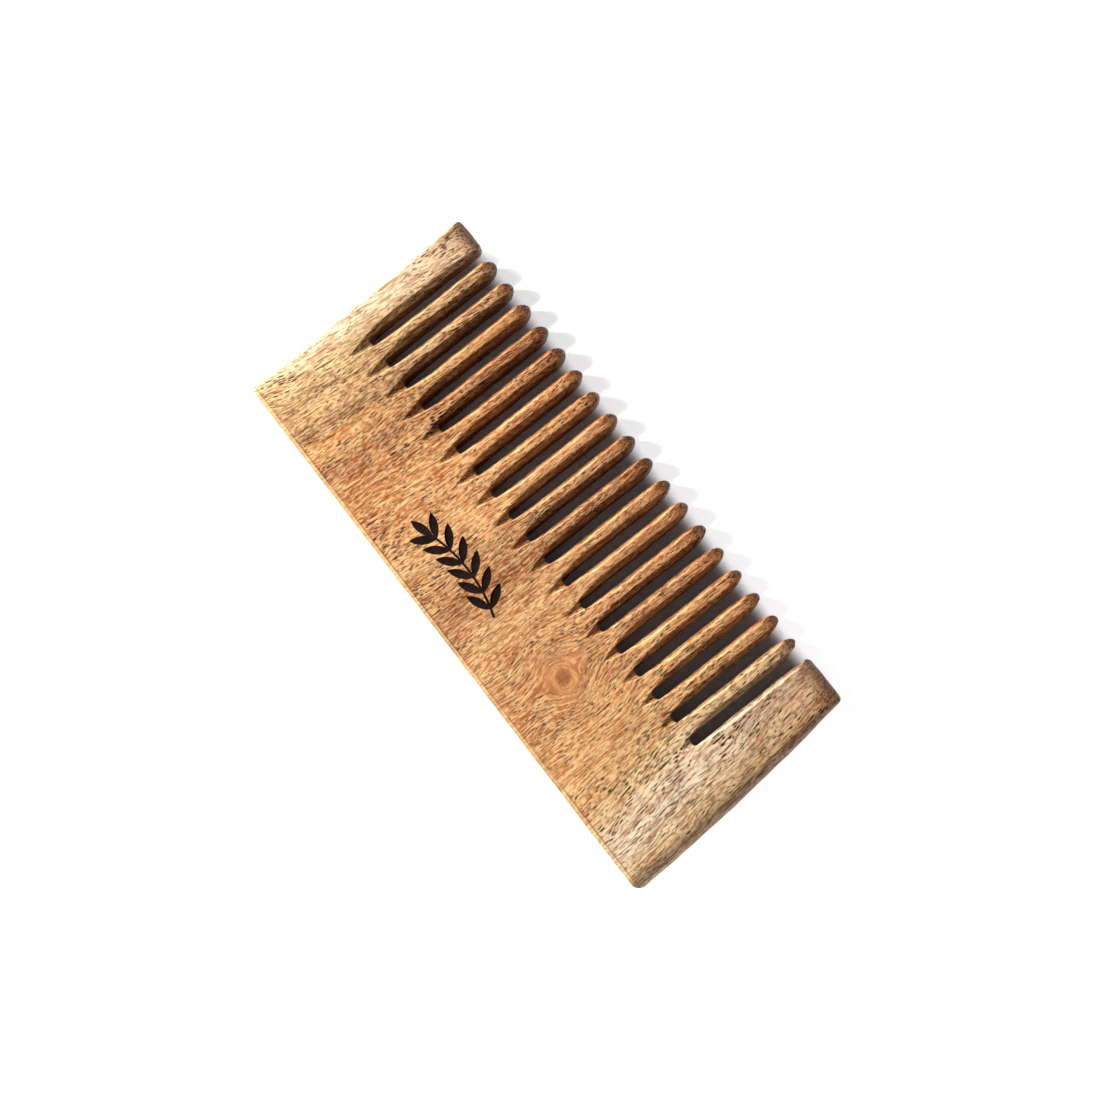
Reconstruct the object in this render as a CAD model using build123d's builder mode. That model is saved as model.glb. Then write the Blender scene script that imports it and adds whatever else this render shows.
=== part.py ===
"""A wide tooth comb cut from one flat blank of wood, in millimetres.

X runs along the comb, towards the end with the wide guard. Y runs from the back to the tooth tips.
Z is up, and the comb lies on its underside. The origin is under the middle of the comb's box.
The wood is one piece on the real comb. Its natural sections are the sub-parts here: the spine,
the two guards and the teeth, which meet face to face along the line where the saw cuts end.
"""
import os
from math import asin, cos, degrees, radians

from build123d import *

# Driving dimensions
thickness = 10.0
tooth_count = 18
pitch = 8.1  # from one slot to the next
kerf_width = 2.8  # the saw cut between two teeth
tooth_length = 42.4  # from the end of the first slot to the tips
back_depth_left = 35.6  # from the back edge to the end of the first slot
back_depth_right = 37.5  # from the back edge to the end of the last slot
slot_lean = 0.6  # degrees that the slots lean towards the narrow guard

# Ends of the comb, measured outwards from the outer wall of the end slots
left_end_at_back = 10.9
left_end_at_tip = 12.1
right_end_at_back = 22.3
right_end_at_tip = 15.1
right_end_swell = 1.0  # how far the right end bulges from a straight line

# Rounding of the blank
left_end_rounding = 3.5
right_end_rounding = 4.6
back_rounding = 1.5
back_corner_radius = 3.2
tip_corner_radius = 2.0
guard_inner_corner = 2.2
face_taper = 0.5  # each face drops this much from the slot ends to the tips
nose_length = 6.5  # the rounded end of every tooth, seen from the side and from above

# V grooves that a wheel cuts along both faces of each slot
bevel_width = 1.6
bevel_depth = 2.2
wheel_radius = 45.0
groove_lead_left = 11.0  # from the slot end to the wheel's last centre, at the first slot
groove_lead_right = 14.0  # the same at the last slot
cutter_above = 2.0  # how far the cutting shape stands above the face

# Burnt sprig on the top of the spine
stem_length = 30.0
stem_rise = 2.5  # how far the stem bows from a straight line
stem_width = 0.7
stem_from_back = 16.5
stem_from_middle_slot = -3.0
leaf_pairs = 6
leaf_length = 8.0
leaf_width = 2.6
leaf_angle = 40.0  # between a leaflet and the stem, in degrees
burn_depth = 0.25

# Worked out from the sizes above
slot_count = tooth_count + 1
tooth_width = pitch - kerf_width
comb_depth = back_depth_left + tooth_length
first_slot_x = -pitch * tooth_count / 2
last_slot_x = -first_slot_x
left_wall_x = first_slot_x - kerf_width / 2
right_wall_x = last_slot_x + kerf_width / 2
flank_slope = bevel_width / bevel_depth
widest_rounding = 0.48 * thickness  # two roundings share the thickness of an end
groove_depth = bevel_depth + kerf_width / 2 / flank_slope
beyond = 2.0 * thickness  # how far a cutting shape runs past what it cuts


def along(slot, at_left, at_right):
    """A value that changes evenly from the first slot to the last one."""
    return at_left + (at_right - at_left) * slot / tooth_count


def slot_end(slot):
    """Where the saw cut of a slot ends, with whole numbers for slots and halves for teeth."""
    return first_slot_x + slot * pitch, along(slot, back_depth_left, back_depth_right)


# The outline of the blank, and the plane that puts the middle of its box on the origin
right_back = (right_wall_x + right_end_at_back, 0)
right_tip = (right_wall_x + right_end_at_tip, comb_depth)
right_middle = ((right_back[0] + right_tip[0]) / 2 + right_end_swell, comb_depth / 2)
left_tip = (left_wall_x - left_end_at_tip, comb_depth)
left_back = (left_wall_x - left_end_at_back, 0)

with BuildSketch() as sharp_outline:
    with BuildLine():
        ThreePointArc(right_back, right_middle, right_tip)
        Polyline(right_tip, left_tip, left_back, right_back)
    make_face()
with BuildSketch() as outline:
    add(sharp_outline.sketch)
    fillet(outline.vertices().group_by(Axis.Y)[0], back_corner_radius)
    fillet(outline.vertices().group_by(Axis.Y)[-1], tip_corner_radius)

middle = outline.sketch.bounding_box().center()
comb_plane = Plane(origin=(-middle.X, -middle.Y, 0))

# The line where the slots end parts the spine from the teeth and the guards
root_start = comb_plane.from_local_coords(slot_end(0))
root_finish = comb_plane.from_local_coords(slot_end(tooth_count))
root_direction = (root_finish - root_start).normalized()
root_plane = Plane(origin=root_start, x_dir=root_direction, z_dir=root_direction.rotate(Axis.Z, 90))

# The side view of the blank: rounded back, flat faces to the slot ends, tapered faces, round nose
taper_start = max(back_depth_left, back_depth_right)
nose_start = comb_depth - nose_length
span = outline.sketch.bounding_box().size.X
side_plane = Plane(origin=(-span, -middle.Y, 0), x_dir=(0, 1, 0), z_dir=(1, 0, 0))
with BuildSketch(side_plane) as side_view:
    with BuildLine():
        Polyline(
            (0, 0),
            (taper_start, 0),
            (nose_start, face_taper),
            (nose_start, thickness - face_taper),
            (taper_start, thickness),
            (0, thickness),
            close=True,
        )
    make_face()
    fillet(side_view.vertices().group_by(Axis.Y)[0], back_rounding)
    with Locations((nose_start, thickness / 2)):
        Ellipse(nose_length, thickness / 2 - face_taper)
with BuildPart() as side_bar:
    add(side_view.sketch)
    extrude(amount=2 * span, dir=(1, 0, 0))

# Blank: the piece of wood before it is sawn into teeth
with BuildPart() as blank:
    with BuildSketch(comb_plane):
        add(sharp_outline.sketch)
    extrude(amount=thickness)
    left_end = blank.faces().sort_by(Axis.X)[0]
    fillet(left_end.edges().filter_by(Axis.Z, reverse=True), min(left_end_rounding, widest_rounding))
    right_end = blank.faces().sort_by(Axis.X)[-1]
    fillet(right_end.edges().filter_by(Axis.Z, reverse=True), min(right_end_rounding, widest_rounding))
    with BuildSketch(comb_plane):
        add(outline.sketch)
    extrude(amount=thickness, mode=Mode.INTERSECT)
    add(side_bar.part, mode=Mode.INTERSECT)

# Groove cutter: the shape that the wheel sweeps, with its tip below the face at Z = 0
flank_height = groove_depth + cutter_above
with BuildPart() as groove:
    with BuildSketch(Plane.XZ) as flanks:
        with BuildLine():
            Polyline(
                (0, -groove_depth),
                (flank_height * flank_slope, flank_height - groove_depth),
                (-flank_height * flank_slope, flank_height - groove_depth),
                close=True,
            )
        make_face()
    wheel_axis = Axis((0, 0, wheel_radius - groove_depth), (1, 0, 0))
    revolve(axis=wheel_axis, revolution_arc=360)
    extrude(flanks.sketch, amount=tooth_length + beyond, dir=(0, 1, 0))


def groove_places(slots):
    """Where the cutter stands for the upper and the lower face of each of these slots."""
    places = []
    for slot in slots:
        x, y = slot_end(slot)
        lead = along(slot, groove_lead_left, groove_lead_right)
        foot = Location(comb_plane.from_local_coords((x, y, 0)), (0, 0, slot_lean)) * Location((0, lead, 0))
        places.append(foot * Location((0, 0, thickness)))
        places.append(foot * Location((0, 0, 0), (0, 180, 0)))
    return places


os.makedirs("parts", exist_ok=True)

# Sprig: a curved stem with pairs of leaflets and one at its tip
stem_radius = (stem_length**2 / 4 + stem_rise**2) / (2 * stem_rise)
stem_sweep = 2 * degrees(asin(stem_length / 2 / stem_radius))
stem_start = 90 - stem_sweep / 2
stem_centre = Vector(stem_from_middle_slot, stem_from_back + stem_rise / 2 - stem_radius)

leaf_step = stem_sweep / leaf_pairs
# Each leaflet's turn round the stem's centre and its spread from the stem, the one at the tip first
leaflets = [(stem_start + stem_sweep - leaf_step / 4, 0)]
for pair in range(leaf_pairs):
    turn = stem_start + leaf_step * (pair + 0.5)
    leaflets += [(turn, leaf_angle), (turn, -leaf_angle)]

sprig_plane = Plane(origin=comb_plane.from_local_coords((0, 0, thickness)))
with BuildSketch(sprig_plane) as sprig:
    with BuildLine():
        CenterArc(stem_centre, stem_radius, stem_start, stem_sweep)
    trace(line_width=stem_width)
    for turn, spread in leaflets:
        foot = stem_centre + Vector(stem_radius, 0).rotate(Axis.Z, turn)
        heading = Vector(1, 0).rotate(Axis.Z, turn + 90 + spread)
        across = heading.rotate(Axis.Z, 90) * (leaf_width / 2)
        waist = foot + heading * (leaf_length / 2)
        tip = foot + heading * leaf_length
        with BuildLine():
            ThreePointArc(foot, waist + across, tip)
            ThreePointArc(tip, waist - across, foot)
        make_face()

# Spine: everything behind the slots, with the ends of all the grooves and the burnt sprig
with BuildPart() as spine:
    add(blank.part)
    split(bisect_by=root_plane, keep=Keep.BOTTOM)
    with Locations(*groove_places(range(slot_count))):
        add(groove.part, mode=Mode.SUBTRACT)
    add(sprig.sketch)
    extrude(amount=-burn_depth, mode=Mode.SUBTRACT)
spine.part.label = "spine"
export_step(spine.part, "parts/spine.step")


def slot_frame(slot, across=0):
    """The plane at the end of a slot, turned with it, and how far the tips are along it."""
    x, y = slot_end(slot)
    place = Location(comb_plane.from_local_coords((x + across, y, 0)), (0, 0, slot_lean))
    return Plane(place), (comb_depth - y) / cos(radians(slot_lean))


# Narrow guard: the solid end beside the first tooth
wall_plane, reach = slot_frame(0, -kerf_width / 2)
with BuildPart() as guard_left:
    add(blank.part)
    with BuildSketch(wall_plane) as region:
        with Locations((0, -beyond)):
            Rectangle(left_end_at_tip + beyond, reach + beyond, align=(Align.MAX, Align.MIN))
        inner_corner = region.vertices().group_by(Axis.Y)[-1].sort_by(Axis.X)[-1]
        fillet(inner_corner, guard_inner_corner)
    extrude(amount=thickness, mode=Mode.INTERSECT)
    split(bisect_by=root_plane, keep=Keep.TOP)
    with Locations(*groove_places([0])):
        add(groove.part, mode=Mode.SUBTRACT)
guard_left.part.label = "guard_left"
export_step(guard_left.part, "parts/guard_left.step")

# Wide guard: the solid end beside the last tooth
wall_plane, reach = slot_frame(tooth_count, kerf_width / 2)
with BuildPart() as guard_right:
    add(blank.part)
    with BuildSketch(wall_plane) as region:
        with Locations((0, -beyond)):
            Rectangle(right_end_at_back + beyond, reach + beyond, align=(Align.MIN, Align.MIN))
        inner_corner = region.vertices().group_by(Axis.Y)[-1].sort_by(Axis.X)[0]
        fillet(inner_corner, guard_inner_corner)
    extrude(amount=thickness, mode=Mode.INTERSECT)
    split(bisect_by=root_plane, keep=Keep.TOP)
    with Locations(*groove_places([tooth_count])):
        add(groove.part, mode=Mode.SUBTRACT)
guard_right.part.label = "guard_right"
export_step(guard_right.part, "parts/guard_right.step")

# Teeth: a straight bar between two slots with a round nose, bevelled by the grooves on both sides
for number in range(1, tooth_count + 1):
    tooth_plane, reach = slot_frame(number - 0.5)
    with BuildPart() as tooth:
        with BuildSketch(tooth_plane):
            with Locations((0, -beyond)):
                Rectangle(tooth_width, beyond + reach - nose_length, align=(Align.CENTER, Align.MIN))
            with Locations((0, reach - nose_length)):
                Ellipse(tooth_width / 2, nose_length)
        extrude(amount=thickness)
        add(side_bar.part, mode=Mode.INTERSECT)
        split(bisect_by=root_plane, keep=Keep.TOP)
        with Locations(*groove_places([number - 1, number])):
            add(groove.part, mode=Mode.SUBTRACT)
    tooth.part.label = f"tooth_{number:02d}"
    export_step(tooth.part, f"parts/{tooth.part.label}.step")
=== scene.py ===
from math import tau
import bpy
import bmesh
from mathutils import Matrix, Vector


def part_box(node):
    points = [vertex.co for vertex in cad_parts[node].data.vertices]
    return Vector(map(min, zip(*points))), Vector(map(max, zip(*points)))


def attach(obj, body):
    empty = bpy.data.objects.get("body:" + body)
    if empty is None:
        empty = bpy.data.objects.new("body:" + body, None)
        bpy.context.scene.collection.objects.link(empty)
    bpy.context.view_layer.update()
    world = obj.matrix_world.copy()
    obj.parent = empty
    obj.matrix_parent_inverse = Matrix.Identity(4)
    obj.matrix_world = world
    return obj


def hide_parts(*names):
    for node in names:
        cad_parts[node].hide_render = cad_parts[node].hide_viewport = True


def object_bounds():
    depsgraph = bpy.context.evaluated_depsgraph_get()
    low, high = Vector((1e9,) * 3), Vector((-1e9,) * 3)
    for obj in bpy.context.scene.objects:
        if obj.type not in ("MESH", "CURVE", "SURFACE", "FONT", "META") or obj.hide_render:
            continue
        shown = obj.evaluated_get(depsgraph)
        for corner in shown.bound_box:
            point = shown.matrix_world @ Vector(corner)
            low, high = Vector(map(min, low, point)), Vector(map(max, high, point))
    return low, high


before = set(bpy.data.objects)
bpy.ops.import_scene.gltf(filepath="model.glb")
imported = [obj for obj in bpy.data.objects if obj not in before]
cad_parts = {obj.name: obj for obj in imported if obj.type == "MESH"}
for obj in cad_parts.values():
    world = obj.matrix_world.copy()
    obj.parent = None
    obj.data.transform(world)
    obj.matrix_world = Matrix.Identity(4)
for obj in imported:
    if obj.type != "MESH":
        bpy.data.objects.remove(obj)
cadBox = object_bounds()
print("frame loaded:", len(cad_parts), "nodes")


def srgb(hexCode):
    # "#rrggbb" to the linear colour that a shader wants
    channels = [int(hexCode[i:i + 2], 16) / 255 for i in (1, 3, 5)]
    linear = [c / 12.92 if c <= 0.04045 else ((c + 0.055) / 1.055) ** 2.4 for c in channels]
    return (*linear, 1.0)


mmPerMetre = 1000


def mm(value):
    return value / mmPerMetre


def addNode(tree, kind, inputs=(), output=0, **settings):
    # adds one node, gives its inputs a socket, a number or a colour each, and returns an output
    node = tree.nodes.new("ShaderNode" + kind)
    for name, value in settings.items():
        setattr(node, name, value)
    pairs = inputs.items() if isinstance(inputs, dict) else enumerate(inputs)
    for name, value in pairs:
        if isinstance(value, bpy.types.NodeSocket):
            tree.links.new(value, node.inputs[name])
        else:
            node.inputs[name].default_value = value
    return node.outputs[output] if node.outputs else None


lowest, highest = Vector(cadBox[0]), Vector(cadBox[1])
middle = (lowest + highest) / 2

# ---- camera: looks almost straight down, turned so that the teeth point up and to the right ----
cameraSetup = {
    "place": (65.5, -11.3, 508.8),  # mm from the middle of the comb's underside
    "looks": (-0.1272, 0.0230, -0.9916),
    "up": (-0.7813, 0.6136, 0.1144),
    "lens": 58.68,
    "sensor": 36,
    "nearest": 10,  # mm
}


def makeCamera():
    data = bpy.data.cameras.new("camera")
    data.lens = cameraSetup["lens"]
    data.sensor_width = cameraSetup["sensor"]
    data.clip_start = mm(cameraSetup["nearest"])
    camera = bpy.data.objects.new("camera", data)
    bpy.context.collection.objects.link(camera)
    back = -Vector(cameraSetup["looks"]).normalized()
    right = Vector(cameraSetup["up"]).cross(back).normalized()
    up = back.cross(right)
    turn = Matrix((right, up, back)).transposed().to_4x4()
    place = Vector((middle.x, middle.y, lowest.z)) + Vector(cameraSetup["place"]) / mmPerMetre
    camera.matrix_world = Matrix.Translation(place) @ turn
    bpy.context.scene.camera = camera


makeCamera()
print("camera made")

# ---- lights: a warm key over the back, a low lamp beside the narrow guard that catches the
# left flanks, a weak sky, and a lamp that lights only the floor ----
lightSetup = {
    "keyFrom": (-0.52, -0.60, 0.60),
    "keyDistance": 700,
    "keySize": 180,
    "keyPower": 6.6,
    "keyColour": "#fff4e4",
    "lowFrom": (-0.97, -0.14, 0.17),
    "lowDistance": 800,
    "lowSize": 120,
    "lowPower": 12.5,
    "lowColour": "#fff6ea",
    "floorLampFrom": (0.80, 0.22, 0.42),
    "floorLampDistance": 1200,
    "floorLampSize": 700,
    "floorLampPower": 26.0,
    "floorLampColour": "#ffffff",
    "sky": "#f6f8fb",
    "skyStrength": 0.10,
    "backdropStrength": 1.0,
}


def makeLamp(name):
    data = bpy.data.lights.new(name, "AREA")
    data.shape = "DISK"
    data.size = mm(lightSetup[name + "Size"])
    data.energy = lightSetup[name + "Power"]
    data.color = srgb(lightSetup[name + "Colour"])[:3]
    lamp = bpy.data.objects.new(name, data)
    bpy.context.collection.objects.link(lamp)
    direction = Vector(lightSetup[name + "From"]).normalized()
    lamp.location = middle + direction * mm(lightSetup[name + "Distance"])
    lamp.rotation_euler = direction.to_track_quat("Z", "Y").to_euler()
    return lamp


def makeSky():
    world = bpy.data.worlds.new("studio")
    world.use_nodes = True
    tree = world.node_tree
    tree.nodes.clear()
    # pale where it is seen as the backdrop, weak where it lights the comb
    seen = addNode(tree, "LightPath", (), "Is Camera Ray")
    strength = addNode(tree, "MapRange", [
        seen, 0.0, 1.0, lightSetup["skyStrength"], lightSetup["backdropStrength"],
    ])
    background = addNode(tree, "Background", [srgb(lightSetup["sky"]), strength])
    addNode(tree, "OutputWorld", [background])
    bpy.context.scene.world = world


makeLamp("key")
makeLamp("low")
floorLamp = makeLamp("floorLamp")
makeSky()
bpy.context.scene.view_settings.view_transform = "Standard"
print("lights made")

# ---- floor: a plain sheet of white card ----
floorSetup = {
    "size": 3000,
    "colour": "#fbfbfc",
    "roughness": 0.9,
    "below": 0.02,  # mm, the gap under the comb
}


def makeFloor():
    bm = bmesh.new()
    bmesh.ops.create_grid(bm, x_segments=1, y_segments=1, size=mm(floorSetup["size"]) / 2)
    bmesh.ops.translate(bm, verts=bm.verts, vec=(0, 0, lowest.z - mm(floorSetup["below"])))
    mesh = bpy.data.meshes.new("floor")
    bm.to_mesh(mesh)
    bm.free()
    floor = bpy.data.objects.new("floor", mesh)
    bpy.context.collection.objects.link(floor)
    material = bpy.data.materials.new("whiteCard")
    material.use_nodes = True
    tree = material.node_tree
    tree.nodes.clear()
    shader = addNode(tree, "BsdfPrincipled", {
        "Base Color": srgb(floorSetup["colour"]),
        "Roughness": floorSetup["roughness"],
    })
    addNode(tree, "OutputMaterial", {"Surface": shader})
    mesh.materials.append(material)

    # the floor lamp lights nothing else
    onlyFloor = bpy.data.collections.new("onlyFloor")
    onlyFloor.objects.link(floor)
    floorLamp.light_linking.receiver_collection = onlyFloor


makeFloor()
print("floor made")


# ---- materials of the comb ----
# four numbers are a ramp: where it starts, where it ends, and the values there
woodSetup = {
    "leanPerMm": 0.00125,  # how much the grain's slope changes along the comb
    "leanAtMiddle": 0.012,
    "leanFrom": -20.0,  # mm, where the bands below are measured, in the middle of the spine
    "bands": [  # mm along the comb, and the wood's colour there
        (-92, "#fbf6e6"),
        (-84, "#f6eed8"),
        (-79, "#d8c298"),
        (-73, "#c4a67a"),
        (-67, "#cba476"),
        (-65.5, "#94633c"),
        (-62, "#98683f"),
        (-59, "#cf9656"),
        (-50, "#a25e2a"),
        (-36, "#d0935a"),
        (-16, "#dfac78"),
        (2, "#a46234"),
        (16, "#e2b07c"),
        (34, "#d69865"),
        (50, "#e4ae76"),
        (67, "#ecc08c"),
        (71, "#f4dcb4"),
        (79, "#fbf6ea"),
        (86, "#ecd8b8"),
        (92, "#caa47c"),
    ],
    "bandEnds": (-92.0, 92.0),
    "bandTilt": 0.3,  # mm that the bands shift for each mm of height
    "wander": 10.0,  # mm, how far the grain strays from its fan
    "wanderScale": (0.05, 0.02, 0.05),
    "wanderDetail": 2.0,
    "deep": "#ae7a56",  # what the darker lines between the fibres keep of the light; also the colour of the painted shade line along the back arris
    "glow": "#ffe3b0",  # the paler lines lean towards this, and so do the pore rims and the painted highlight on the back edge
    "glowShare": 0.55,
    "noises": {  # mm across the grain, mm along it, how much fine detail
        "seasons": (5.0, 80.0, 4.0),
        "mottle": (3.0, 5.0, 3.0),
        "streaks": (0.7, 12.0, 4.0),
        "fibres": (0.38, 2.2, 2.0),
        "patches": (14.0, 30.0, 2.0),
    },
    "noiseOrigin": (4.3, 1.7, 0.0),
    "noiseRoughness": 0.6,
    "noiseMiddle": 0.51,
    "streaking": {  # how far from the middle each starts and is full, its darkest and palest share
        "seasons": (0.02, 0.16, 0.35, 0.45),
        "mottle": (0.01, 0.13, 0.32, 0.28),
        "streaks": (0.01, 0.09, 0.74, 0.60),
        "fibres": (0.01, 0.09, 0.60, 0.60),
    },
    "pore": "#2e1207",
    "poreShare": 0.94,
    "poreGap": (0.52, 2.8),  # mm between pores, across and along the grain
    "poreLayers": [  # shift, length against poreGap, and the widest pore
        (0.0, 1.0, 0.43),
        (37.0, 0.66, 0.43),
        (71.0, 3.2, 0.32),
    ],
    "poreChance": (0.15, 1.0, 0.0),  # each pore draws a number: at the first it is shut, at the second open
    "poreCrowd": (0.38, 0.62, 0.80, 1.35),
    "poreCore": 0.6,
    "poreRim": 1.9,
    "rimShare": 0.22,
    # this colour darkens the teeth towards the tips, and is also the painted shade on the tips
    "tipwardDarkAndShade": "#b57b50",
    "tipwardDarkRamp": (-6.0, 38.0, 0.0, 0.42),  # mm along the teeth
    # painted shade on the rounded tips
    "tipShadeRamp": (30.0, 38.5, 0.0, 0.45),
    "sawn": "#96603c",  # painted shade on the flanks between the teeth
    "sawnRamp": (8.4, 6.6, 0.0, 0.75),  # mm above the underside
    "sawnBeyond": (-5.0, -1.0, 0.0, 1.0),  # mm along the comb's depth, so the spine keeps its colour
    "arris": -37.5,  # mm, where the top face turns into the back edge
    "backHighlightRamp": (0.10, -0.25, 0.0, 0.4),  # mm from the arris, for the painted highlight on the back edge
    "backHighlightTop": (7.5, 9.0, 0.0, 1.0),  # mm above the underside
    "arrisShadeRamp": (0.26, 0.12, 0.0, 0.75),  # mm from the arris, for the painted shade line
    "arrisShadeBreaks": (0.40, 0.50, 0.35, 1.0),
    "roughness": (0.3, 0.7, 0.38, 0.54),
    "poreRoughness": 0.25,
    "sheen": 0.3,
    "poreSheen": -0.27,
    "poreDepth": -0.9,
    "fibreHeight": 0.3,
    "bumpStrength": 0.6,
    "bumpHeight": 0.12,  # mm
}

knotSetup = {
    "place": (32.2, -18.6),  # mm, the middle of the knot
    "push": 5.0,  # mm, how far out the grain is pushed aside
    "soften": 10.0,  # square mm, which keeps the push small at the very middle
    "pushRamp": (22.0, 6.0, 0.0, 1.0),  # mm from the middle
    "wander": 0.25,  # how much of the grain's wander the knot itself has
    "calmRamp": (2.5, 9.0, 0.25, 1.0),  # how strong the streaks are near it
    "poreRamp": (3.0, 12.0, 0.35, 1.0),  # and the pores
    "ring": "#b06a3c",
    "ringGap": 2.3,  # mm between its rings
    "ringShare": 0.5,
    "ringRamp": (10.0, 4.0, 0.0, 1.0),
    "wobble": 1.6,  # mm, how uneven the rings are
    "wobbleScale": 0.35,
    "wobbleDetail": 2.0,
    "core": "#8f4f2c",
    "coreRamp": (3.0, 1.2, 0.0, 0.8),
}


def makeWood():
    # open-pored hardwood such as neem, planed, sanded by hand and oiled: satin, warm, short dark
    # pores along the grain, pale sapwood at both ends; painted shade on the flanks and tips, and painted
    # light at the back edge
    material = bpy.data.materials.new("oiledHardwood")
    material.use_nodes = True
    tree = material.node_tree
    tree.nodes.clear()

    def add(*words, **settings):
        return addNode(tree, *words, **settings)

    inMetres = add("TexCoord", output="Object")
    place = add("VectorMath", [inMetres, (mmPerMetre, mmPerMetre, mmPerMetre)], operation="MULTIPLY")
    x, y, z = [add("SeparateXYZ", [place], output=axis) for axis in "XYZ"]

    # the grain fans out, wanders a little, and dips into the wood
    slow = add("Mapping", {"Vector": place, "Scale": woodSetup["wanderScale"]})
    wander = add("TexNoise", {"Vector": slow, "Scale": 1.0, "Detail": woodSetup["wanderDetail"]})
    wander = add("Math", [wander, woodSetup["wander"], -woodSetup["wander"] / 2], operation="MULTIPLY_ADD")
    lean = add("Math", [x, woodSetup["leanPerMm"], woodSetup["leanAtMiddle"]], operation="MULTIPLY_ADD")
    height = add("Math", [y, woodSetup["leanFrom"]], operation="SUBTRACT")
    across = add("Math", [lean, height, x], operation="MULTIPLY_ADD")
    across = add("Math", [across, wander], operation="ADD")

    # the grain parts round the knot as a stream does round a post
    sideways = add("Math", [x, knotSetup["place"][0]], operation="SUBTRACT")
    sideways = add("Math", [wander, knotSetup["wander"], sideways], operation="MULTIPLY_ADD")
    endways = add("Math", [y, knotSetup["place"][1]], operation="SUBTRACT")
    away = add("Math", [sideways, sideways], operation="MULTIPLY")
    away = add("Math", [endways, endways, away], operation="MULTIPLY_ADD")
    near = add("Math", [away, knotSetup["soften"]], operation="ADD")
    push = add("Math", [knotSetup["push"] ** 2, near], operation="DIVIDE")
    away = add("Math", [away], operation="SQRT")
    fade = add("MapRange", [away, *knotSetup["pushRamp"]], interpolation_type="SMOOTHSTEP")
    push = add("Math", [push, fade], operation="MULTIPLY")
    aside = add("Math", [sideways, push], operation="MULTIPLY")
    across = add("Math", [across, aside], operation="SUBTRACT")
    along = add("Math", [endways, push, y], operation="MULTIPLY_ADD")
    grain = add("CombineXYZ", [across, along, z])

    # seasons of growth: sapwood, heartwood and the darker and paler bands between them
    bandPlace = add("Math", [z, woodSetup["bandTilt"], across], operation="MULTIPLY_ADD")
    first, last = woodSetup["bandEnds"]
    bandShare = add("MapRange", [bandPlace, first, last, 0.0, 1.0])
    bands = add("ValToRGB", [bandShare])
    stops = bands.node.color_ramp.elements
    while len(stops) < len(woodSetup["bands"]):
        stops.new(0.5)
    for stop, (where, colour) in zip(stops, woodSetup["bands"]):
        stop.position = (where - first) / (last - first)
        stop.color = srgb(colour)

    # each noise is stretched along the grain
    noises = {}
    for name, (gap, length, detail) in woodSetup["noises"].items():
        stretched = add("Mapping", {
            "Vector": grain,
            "Location": woodSetup["noiseOrigin"],
            "Scale": (1 / gap, 1 / length, 1 / gap),
        })
        noises[name] = add("TexNoise", {
            "Vector": stretched,
            "Scale": 1.0,
            "Detail": detail,
            "Roughness": woodSetup["noiseRoughness"],
        })

    # the streaks are darker and paler than the band they lie in, and fade out towards the knot
    deepHere = add("Mix", {0: 1.0, 6: bands, 7: srgb(woodSetup["deep"])}, output=2, data_type="RGBA",
                   blend_type="MULTIPLY")
    glowHere = add("Mix", {
        0: woodSetup["glowShare"],
        6: bands,
        7: srgb(woodSetup["glow"]),
    }, output=2, data_type="RGBA")
    calm = add("MapRange", [away, *knotSetup["calmRamp"]])
    centre = woodSetup["noiseMiddle"]
    colour = bands
    for name, (least, most, deepest, palest) in woodSetup["streaking"].items():
        for side, share, shade in ((-1, deepest, deepHere), (1, palest, glowHere)):
            ramp = (centre + side * least, centre + side * most, 0.0, share)
            blend = add("MapRange", [noises[name], *ramp], interpolation_type="SMOOTHSTEP")
            blend = add("Math", [blend, calm], operation="MULTIPLY")
            colour = add("Mix", {0: blend, 6: colour, 7: shade}, output=2, data_type="RGBA")

    # the knot: a dark core and rings that fade outwards
    wobble = add("TexNoise", {
        "Vector": place,
        "Scale": knotSetup["wobbleScale"],
        "Detail": knotSetup["wobbleDetail"],
    })
    ringPlace = add("Math", [wobble, knotSetup["wobble"], away], operation="MULTIPLY_ADD")
    ringWave = add("Math", [ringPlace, tau / knotSetup["ringGap"]], operation="MULTIPLY")
    ringWave = add("Math", [ringWave], operation="SINE")
    ringShare = add("MapRange", [ringWave, 0.0, 1.0, 0.0, knotSetup["ringShare"]],
                    interpolation_type="SMOOTHSTEP")
    ringFade = add("MapRange", [away, *knotSetup["ringRamp"]], interpolation_type="SMOOTHSTEP")
    ringShare = add("Math", [ringShare, ringFade], operation="MULTIPLY")
    colour = add("Mix", {0: ringShare, 6: colour, 7: srgb(knotSetup["ring"])}, output=2, data_type="RGBA")
    coreShare = add("MapRange", [away, *knotSetup["coreRamp"]], interpolation_type="SMOOTHSTEP")
    colour = add("Mix", {0: coreShare, 6: colour, 7: srgb(knotSetup["core"])}, output=2, data_type="RGBA")

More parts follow.
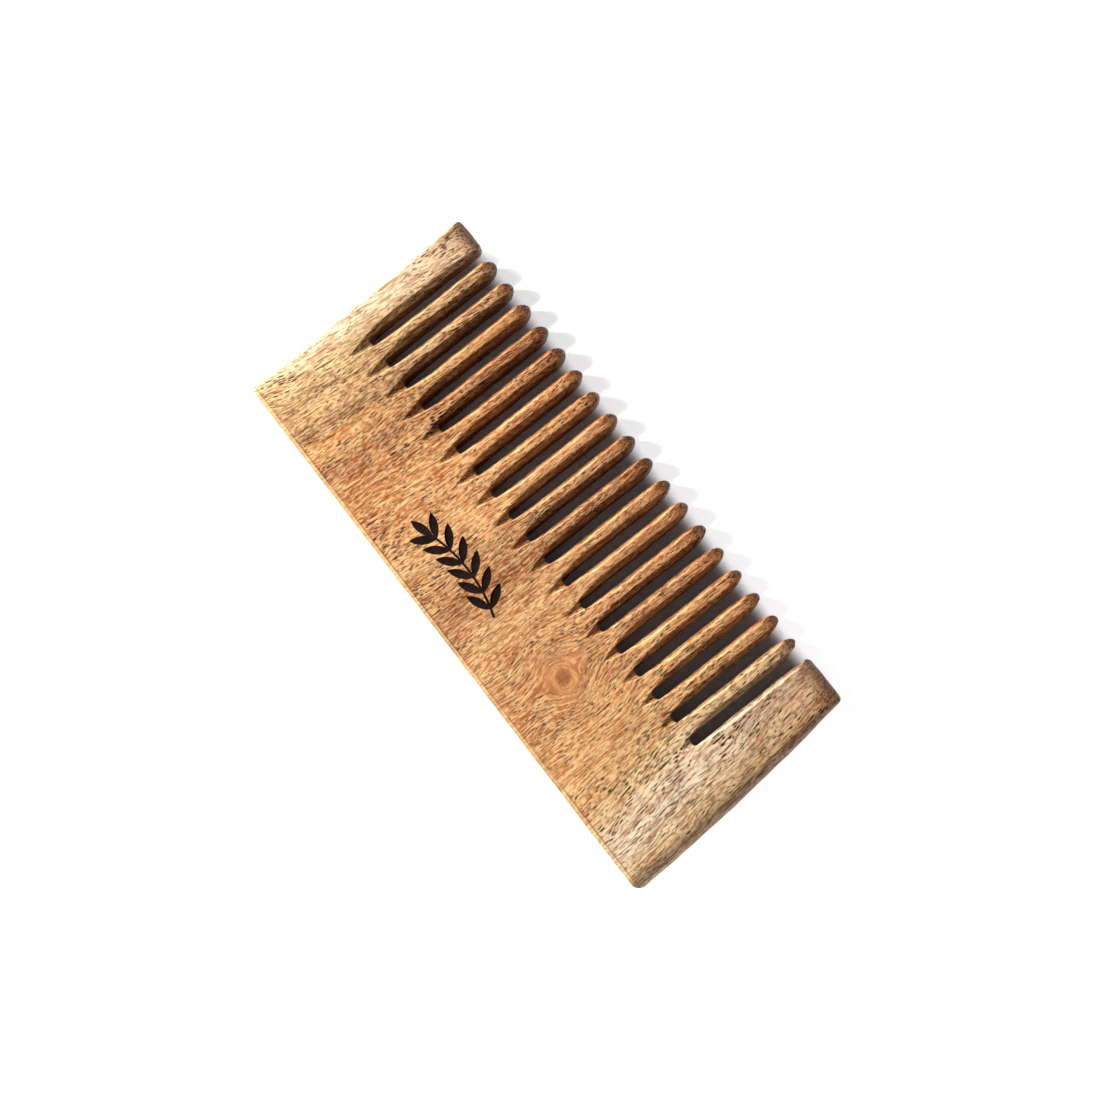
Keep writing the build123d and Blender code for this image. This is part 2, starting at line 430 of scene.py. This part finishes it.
    # pores: short dark dashes, more of them in some patches, with thin long ones between
    poreAcross, poreAlong = woodSetup["poreGap"]
    poreShares = []
    rims = []
    crowd = add("MapRange", [noises["patches"], *woodSetup["poreCrowd"]])
    for shift, stretch, widest in woodSetup["poreLayers"]:
        scale = (1 / poreAcross, 1 / (poreAlong * stretch), 1 / poreAcross)
        cells = add("Mapping", {"Vector": grain, "Location": (shift, shift, shift), "Scale": scale})
        nearest = add("TexVoronoi", {"Vector": cells, "Scale": 1.0})
        chance = add("SeparateColor", [nearest.node.outputs["Color"]])
        size = add("MapRange", [chance, *woodSetup["poreChance"], widest])
        size = add("Math", [size, crowd], operation="MULTIPLY")
        inner = add("Math", [size, woodSetup["poreCore"]], operation="MULTIPLY")
        outer = add("Math", [size, woodSetup["poreRim"]], operation="MULTIPLY")
        for shares, edge, full in ((rims, outer, size), (poreShares, size, inner)):
            share = add("MapRange", [nearest, edge, full, 0.0, 1.0], interpolation_type="SMOOTHSTEP")
            shares.append(share)
    pores = add("Math", poreShares[:2], operation="MAXIMUM")
    pores = add("Math", [pores, poreShares[2]], operation="MAXIMUM")
    knotClear = add("MapRange", [away, *knotSetup["poreRamp"]])
    pores = add("Math", [pores, knotClear], operation="MULTIPLY")
    rim = add("Math", rims[:2], operation="MAXIMUM")
    rim = add("Math", [rim, knotClear], operation="MULTIPLY")
    rim = add("Math", [rim, woodSetup["rimShare"]], operation="MULTIPLY")
    colour = add("Mix", {0: rim, 6: colour, 7: srgb(woodSetup["glow"])}, output=2, data_type="RGBA")
    poreInk = add("Math", [pores, woodSetup["poreShare"]], operation="MULTIPLY")
    colour = add("Mix", {0: poreInk, 6: colour, 7: srgb(woodSetup["pore"])}, output=2, data_type="RGBA")

    # the teeth grow darker towards the tips
    tipwardDark = add("MapRange", [y, *woodSetup["tipwardDarkRamp"]])
    colour = add("Mix", {0: tipwardDark, 6: colour, 7: srgb(woodSetup["tipwardDarkAndShade"])}, output=2, data_type="RGBA",
                 blend_type="MULTIPLY")

    # painted shade: the flanks between the teeth are darkened below the top face, where the slots lie in
    # shade
    flank = add("MapRange", [z, *woodSetup["sawnRamp"]], interpolation_type="SMOOTHSTEP")
    beyondSpine = add("MapRange", [y, *woodSetup["sawnBeyond"]])
    flank = add("Math", [flank, beyondSpine], operation="MULTIPLY")
    colour = add("Mix", {0: flank, 6: colour, 7: srgb(woodSetup["sawn"])}, output=2, data_type="RGBA",
                 blend_type="MULTIPLY")

    # painted shade on the rounded tips, which turn away from the light: the last mm of each tooth is
    # darkened
    tip = add("MapRange", [y, *woodSetup["tipShadeRamp"]], interpolation_type="SMOOTHSTEP")
    colour = add("Mix", {0: tip, 6: colour, 7: srgb(woodSetup["tipwardDarkAndShade"])}, output=2, data_type="RGBA",
                 blend_type="MULTIPLY")

    # painted light at the back edge: a fine dark line of painted shade along its arris, broken here and
    # there, and a painted highlight on the back face beside it
    fromArris = add("Math", [y, woodSetup["arris"]], operation="SUBTRACT")
    backHighlight = add("MapRange", [fromArris, *woodSetup["backHighlightRamp"]])
    nearTop = add("MapRange", [z, *woodSetup["backHighlightTop"]])
    backHighlight = add("Math", [backHighlight, nearTop], operation="MULTIPLY")
    colour = add("Mix", {0: backHighlight, 6: colour, 7: srgb(woodSetup["glow"])}, output=2, data_type="RGBA")
    # the dark line is painted shade along the arris
    fromArris = add("Math", [fromArris], operation="ABSOLUTE")
    line = add("MapRange", [fromArris, *woodSetup["arrisShadeRamp"]])
    breaks = add("MapRange", [noises["patches"], *woodSetup["arrisShadeBreaks"]])
    line = add("Math", [line, breaks], operation="MULTIPLY")
    colour = add("Mix", {0: line, 6: colour, 7: deepHere}, output=2, data_type="RGBA")

    # satin oil: rougher in the pores, and the fibres stand a hair above them
    rough = add("MapRange", [noises["streaks"], *woodSetup["roughness"]])
    rough = add("Math", [pores, woodSetup["poreRoughness"], rough], operation="MULTIPLY_ADD")
    relief = add("Math", [pores, woodSetup["poreDepth"], noises["streaks"]], operation="MULTIPLY_ADD")
    relief = add("Math", [noises["fibres"], woodSetup["fibreHeight"], relief], operation="MULTIPLY_ADD")
    bump = add("Bump", {
        "Height": relief,
        "Strength": woodSetup["bumpStrength"],
        "Distance": mm(woodSetup["bumpHeight"]),
    })
    # open pores hold no film of oil
    sheen = add("Math", [pores, woodSetup["poreSheen"], woodSetup["sheen"]], operation="MULTIPLY_ADD")
    shader = add("BsdfPrincipled", {
        "Base Color": colour,
        "Roughness": rough,
        "Specular IOR Level": sheen,
        "Normal": bump,
    })
    add("OutputMaterial", {"Surface": shader})
    return material


charSetup = {
    "dark": "#120605",
    "brown": "#2c120c",
    "brownRamp": (0.42, 0.72, 0.0, 1.0),
    "fibreScale": (1400, 300, 1400),  # per metre
    "fibreDetail": 3.0,
    "roughness": 0.75,
    "sheen": 0.15,
    "bumpStrength": 0.5,
    "bumpHeight": 0.1,  # mm
}


def makeChar():
    # wood burnt by a hot stamp: matt, nearly black, browner where the stamp pressed less
    material = bpy.data.materials.new("burntWood")
    material.use_nodes = True
    tree = material.node_tree
    tree.nodes.clear()

    def add(*words, **settings):
        return addNode(tree, *words, **settings)

    place = add("TexCoord", output="Object")
    scaled = add("Mapping", {"Vector": place, "Scale": charSetup["fibreScale"]})
    burn = add("TexNoise", {"Vector": scaled, "Scale": 1.0, "Detail": charSetup["fibreDetail"]})
    share = add("MapRange", [burn, *charSetup["brownRamp"]])
    colour = add("Mix", {0: share, 6: srgb(charSetup["dark"]), 7: srgb(charSetup["brown"])}, output=2,
                 data_type="RGBA")
    bump = add("Bump", {
        "Height": burn,
        "Strength": charSetup["bumpStrength"],
        "Distance": mm(charSetup["bumpHeight"]),
    })
    shader = add("BsdfPrincipled", {
        "Base Color": colour,
        "Roughness": charSetup["roughness"],
        "Specular IOR Level": charSetup["sheen"],
        "Normal": bump,
    })
    add("OutputMaterial", {"Surface": shader})
    return material


wood = makeWood()
char = makeChar()
print("materials made")

# ---- the comb: one master shape with worn, hand-cut edges, then cut into its sections ----
combSetup = {
    "voxel": 0.27,  # mm, the grid that the master shape is rebuilt on
    "softening": 2,  # rounds of smoothing, which sand the sharp edges
    "softenBy": 0.5,
    "waveSize": 8.0,  # mm between the waves that the knife and the sandpaper left
    "waveDepth": 0.38,  # mm, the deepest of them
    "waveDetail": 1,
    "keepShare": 0.42,  # of the master's triangles after thinning
    "weld": 0.0005,  # mm, corners closer than this become one
    "rootFacing": 0.999,  # a face turned this much along the teeth is a root face
    "leastNormal": 0.5,  # a kept normal shorter than this was never set
    "tipBlend": 0.5,  # how far the normals round a tip cut turn towards the cut
    "toothCount": 18,
}

# the maker's last knife cuts at four tips: mm from the middle of the tip, along the comb and
# towards the tips, and the way that the cut faces
tipCuts = {
    "tooth_01": [((1.2, -0.6), (0.80, 0.60, 0)), ((-1.6, -0.5), (-0.55, 0.83, 0))],
    "tooth_04": [((1.0, -1.2), (0.86, 0.51, 0))],
    "tooth_08": [((-1.1, -0.5), (-0.70, 0.71, 0))],
    "tooth_18": [((0.4, -0.9), (0.72, 0.69, 0)), ((1.7, -4.0), (0.97, 0.24, 0))],
}

sprigSetup = {
    "depth": 0.25,  # mm, how deep the drawn sprig is below the face
    "burnDeeper": 0.30,  # mm, the stamp's extra depth, as the waves lower the face
    "above": 1.0,  # mm, how far the stamp stands above the face
    "levelWithin": 0.01,  # mm, faces this near to the drawn depth are the sprig's floor
    "levelFacing": 0.99,  # and they face up at least this much
}


def newObject(name, mesh):
    made = bpy.data.objects.new(name, mesh)
    bpy.context.collection.objects.link(made)
    return made


def bakeModifiers(source, name):
    graph = bpy.context.evaluated_depsgraph_get()
    mesh = bpy.data.meshes.new_from_object(source.evaluated_get(graph), depsgraph=graph)
    mesh.name = name
    bpy.data.objects.remove(source)
    return mesh


def mergedCopy(node):
    bm = bmesh.new()
    bm.from_mesh(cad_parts[node].data)
    bmesh.ops.remove_doubles(bm, verts=bm.verts, dist=mm(combSetup["weld"]))
    return bm


def sprigPrism(rise, sink):
    # the floor of the spine's sprig pocket, moved down by sink and drawn up to a solid of height rise
    bm = mergedCopy("spine")
    floorHeight = highest.z - mm(sprigSetup["depth"])
    slack = mm(sprigSetup["levelWithin"])
    others = [
        face for face in bm.faces
        if face.normal.z < sprigSetup["levelFacing"]
        or abs(face.calc_center_median().z - floorHeight) > slack
    ]
    bmesh.ops.delete(bm, geom=others, context="FACES")
    bmesh.ops.translate(bm, verts=bm.verts, vec=(0, 0, -mm(sink)))
    grown = bmesh.ops.extrude_face_region(bm, geom=bm.faces[:], use_keep_orig=True)
    top = [item for item in grown["geom"] if isinstance(item, bmesh.types.BMVert)]
    bmesh.ops.translate(bm, verts=top, vec=(0, 0, mm(rise)))
    bmesh.ops.recalc_face_normals(bm, faces=bm.faces)
    return bm


def makeMaster():
    whole = bmesh.new()
    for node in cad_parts:
        part = mergedCopy(node)
        mesh = bpy.data.meshes.new("part")
        part.to_mesh(mesh)
        part.free()
        whole.from_mesh(mesh)
        bpy.data.meshes.remove(mesh)
    plug = sprigPrism(sprigSetup["depth"], 0)
    mesh = bpy.data.meshes.new("plug")
    plug.to_mesh(mesh)
    plug.free()
    whole.from_mesh(mesh)
    bpy.data.meshes.remove(mesh)
    mesh = bpy.data.meshes.new("master")
    whole.to_mesh(mesh)
    whole.free()
    master = newObject("master", mesh)

    remesh = master.modifiers.new("remesh", "REMESH")
    remesh.mode = "VOXEL"
    remesh.voxel_size = mm(combSetup["voxel"])
    remesh.adaptivity = 0.0
    smooth = master.modifiers.new("smooth", "SMOOTH")
    smooth.factor = combSetup["softenBy"]
    smooth.iterations = combSetup["softening"]
    waves = bpy.data.textures.new("waves", "CLOUDS")
    waves.noise_scale = mm(combSetup["waveSize"])
    waves.noise_depth = combSetup["waveDetail"]
    displace = master.modifiers.new("waves", "DISPLACE")
    displace.texture = waves
    displace.texture_coords = "LOCAL"
    displace.direction = "NORMAL"
    displace.mid_level = 1.0
    displace.strength = mm(combSetup["waveDepth"])
    thin = master.modifiers.new("thin", "DECIMATE")
    thin.ratio = combSetup["keepShare"]
    return bakeModifiers(master, "master")


master = makeMaster()
print("master shape:", len(master.polygons), "faces")


def rootLine():
    # the line where the teeth and guards meet the spine, from the CAD's lowest tooth corners
    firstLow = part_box("tooth_01")[0]
    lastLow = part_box("tooth_18")[0]
    direction = Vector((lastLow.x - firstLow.x, lastLow.y - firstLow.y, 0)).normalized()
    start = Vector((firstLow.x, firstLow.y, 0))
    return start, Vector((-direction.y, direction.x, 0))


def cutMaster(keepTeeth):
    # the master is cut along the root line, and each vertex keeps the normal that it had in the
    # whole comb, so that no seam shows where the sections meet
    bm = bmesh.new()
    bm.from_mesh(master)
    point, across = rootLine()
    bmesh.ops.bisect_plane(
        bm,
        geom=bm.verts[:] + bm.edges[:] + bm.faces[:],
        plane_co=point,
        plane_no=across,
    )
    bm.normal_update()
    kept = bm.verts.layers.float_vector.new("wholeNormal")
    for vert in bm.verts:
        vert[kept] = vert.normal
    side = 1 if keepTeeth else -1
    others = [face for face in bm.faces if (face.calc_center_median() - point).dot(across) * side < 0]
    bmesh.ops.delete(bm, geom=others, context="FACES")
    rim = [edge for edge in bm.edges if edge.is_boundary]
    caps = bmesh.ops.holes_fill(bm, edges=rim, sides=0)["faces"]
    bmesh.ops.triangulate(bm, faces=caps)
    return bm


def useWholeNormals(mesh, across):
    # smooth wood takes its normals from the whole comb; root faces and burnt walls stay flat
    mesh.shade_smooth()
    kept = mesh.attributes["wholeNormal"].data
    normals = []
    for face in mesh.polygons:
        flat = abs(face.normal.dot(across)) > combSetup["rootFacing"] or face.material_index > 0
        for vertex in face.vertices:
            whole = kept[vertex].vector
            own = flat or whole.length < combSetup["leastNormal"]
            normals.append(face.normal if own else whole.normalized())
    mesh.normals_split_custom_set([tuple(normal) for normal in normals])


def finishPiece(mesh, node):
    useWholeNormals(mesh, rootLine()[1])
    piece = newObject("wood_" + node, mesh)
    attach(piece, "root")
    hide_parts(node)
    return piece


def islands(bm):
    # lists of the faces that hang together
    left = set(bm.faces)
    groups = []
    while left:
        start = left.pop()
        group = [start]
        queue = [start]
        while queue:
            face = queue.pop()
            for edge in face.edges:
                for other in edge.link_faces:
                    if other in left:
                        left.remove(other)
                        group.append(other)
                        queue.append(other)
        groups.append(group)
    return groups


def cutTip(part, place, facing):
    kept = part.verts.layers.float_vector["wholeNormal"]
    bmesh.ops.bisect_plane(
        part,
        geom=part.verts[:] + part.edges[:] + part.faces[:],
        plane_co=place,
        plane_no=facing,
        clear_outer=True,
    )
    rim = [edge for edge in part.edges if edge.is_boundary]
    caps = bmesh.ops.holes_fill(part, edges=rim, sides=0)["faces"]
    bmesh.ops.triangulate(part, faces=caps)
    for edge in rim:
        for vert in edge.verts:
            vert[kept] = Vector(vert[kept]).lerp(facing, combSetup["tipBlend"]).normalized()


def makeTeeth():
    bm = cutMaster(True)
    groups = islands(bm)
    groups.sort(key=lambda group: sum(face.calc_center_median().x for face in group) / len(group))
    teeth = [f"tooth_{number:02d}" for number in range(1, combSetup["toothCount"] + 1)]
    nodes = ["guard_left", *teeth, "guard_right"]
    print("sections beyond the root line:", [len(group) for group in groups])
    whole = bpy.data.meshes.new("teeth")
    bm.faces.index_update()
    chosen = [[face.index for face in group] for group in groups]
    bm.to_mesh(whole)
    bm.free()
    for group, node in zip(chosen, nodes):
        part = bmesh.new()
        part.from_mesh(whole)
        part.faces.ensure_lookup_table()
        mine = set(group)
        others = [face for face in part.faces if face.index not in mine]
        bmesh.ops.delete(part, geom=others, context="FACES")
        low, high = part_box(node)
        tip = Vector(((low.x + high.x) / 2, high.y, 0))
        for (sideways, endways), facing in tipCuts.get(node, []):
            cutTip(part, tip + Vector((mm(sideways), mm(endways), 0)), Vector(facing))
        mesh = bpy.data.meshes.new("wood_" + node)
        part.to_mesh(mesh)
        part.free()
        mesh.materials.append(wood)
        finishPiece(mesh, node)
    bpy.data.meshes.remove(whole)


def makeSpine():
    bm = cutMaster(False)
    mesh = bpy.data.meshes.new("body")
    bm.to_mesh(mesh)
    bm.free()
    mesh.materials.append(wood)
    body = newObject("body", mesh)
    stamp = sprigPrism(sprigSetup["depth"] + sprigSetup["burnDeeper"] + sprigSetup["above"],
                       sprigSetup["burnDeeper"])
    mesh = bpy.data.meshes.new("stamp")
    stamp.to_mesh(mesh)
    stamp.free()
    mesh.materials.append(char)
    stamp = newObject("stamp", mesh)
    burn = body.modifiers.new("burn", "BOOLEAN")
    burn.operation = "DIFFERENCE"
    burn.object = stamp
    burn.solver = "EXACT"
    burn.material_mode = "TRANSFER"
    mesh = bakeModifiers(body, "wood_spine")
    bpy.data.objects.remove(stamp)
    finishPiece(mesh, "spine")
    print("spine:", len(mesh.polygons), "faces,", [slot.name for slot in mesh.materials])


makeTeeth()
makeSpine()
bpy.data.meshes.remove(master)
print("sections made")
